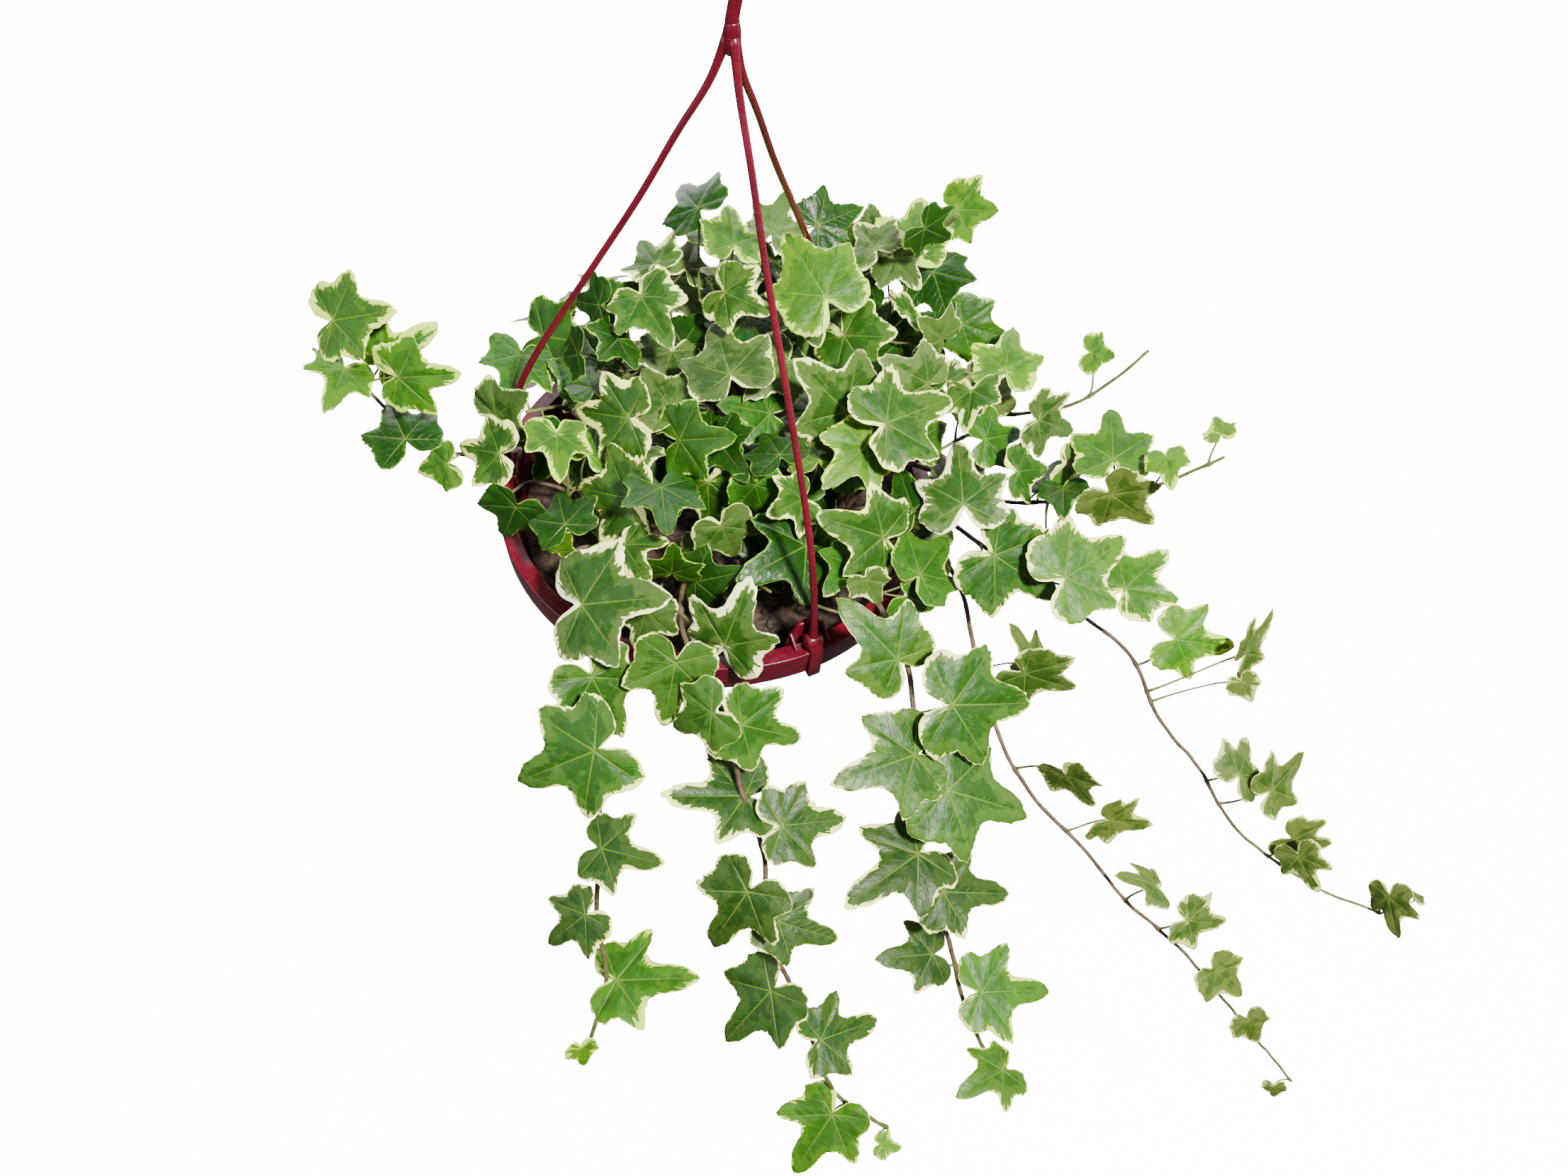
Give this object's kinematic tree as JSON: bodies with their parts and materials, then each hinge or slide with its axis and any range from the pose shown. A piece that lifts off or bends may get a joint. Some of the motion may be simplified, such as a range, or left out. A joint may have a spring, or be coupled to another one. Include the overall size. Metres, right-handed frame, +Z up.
{
  "type": "potted variegated english ivy in a hanging pot",
  "caption": "Variegated ivy with lobed, cream-edged leaves on trailing stems, in a shallow red hanging pot with an arched three-armed hanger and hook.",
  "frame": {"origin": "inside the top of the hook, where the hanging pot is held", "axes": "+Z up along the pot's axis, out of the hook's top; -Y towards the side that the foliage faces"},
  "size_m": [0.5969, 0.4776, 0.5906],
  "materials": {
    "red_plastic": "gloss",
    "soil": "rough, moist",
    "leaf": "satin, cream-edged",
    "stem": "matte"
  },
  "bodies": {
    "root": {"crown_01": "leaf", "crown_02": "leaf", "crown_03": "leaf", "crown_04": "leaf", "crown_05": "leaf", "crown_06": "leaf", "crown_07": "leaf", "crown_08": "leaf", "crown_09": "leaf", "crown_10": "leaf", "crown_11": "leaf", "crown_12": "leaf", "crown_13": "leaf", "crown_14": "leaf", "crown_15": "leaf", "crown_16": "leaf", "crown_17": "leaf", "crown_18": "leaf", "crown_19": "leaf", "crown_20": "leaf", "crown_21": "leaf", "crown_22": "leaf", "hanger": "red_plastic", "pot": "red_plastic", "soil": "soil", "trail_back": "leaf", "trail_back_far_right": "leaf", "trail_back_left": "leaf", "trail_back_right": "leaf", "trail_front": "leaf", "trail_front_left": "leaf", "trail_front_right": "leaf", "trail_left": "leaf", "trail_right": "leaf", "trail_right_back": "leaf", "trail_right_high": "leaf", "trail_right_low": "leaf"}
  },
  "joints": []
}
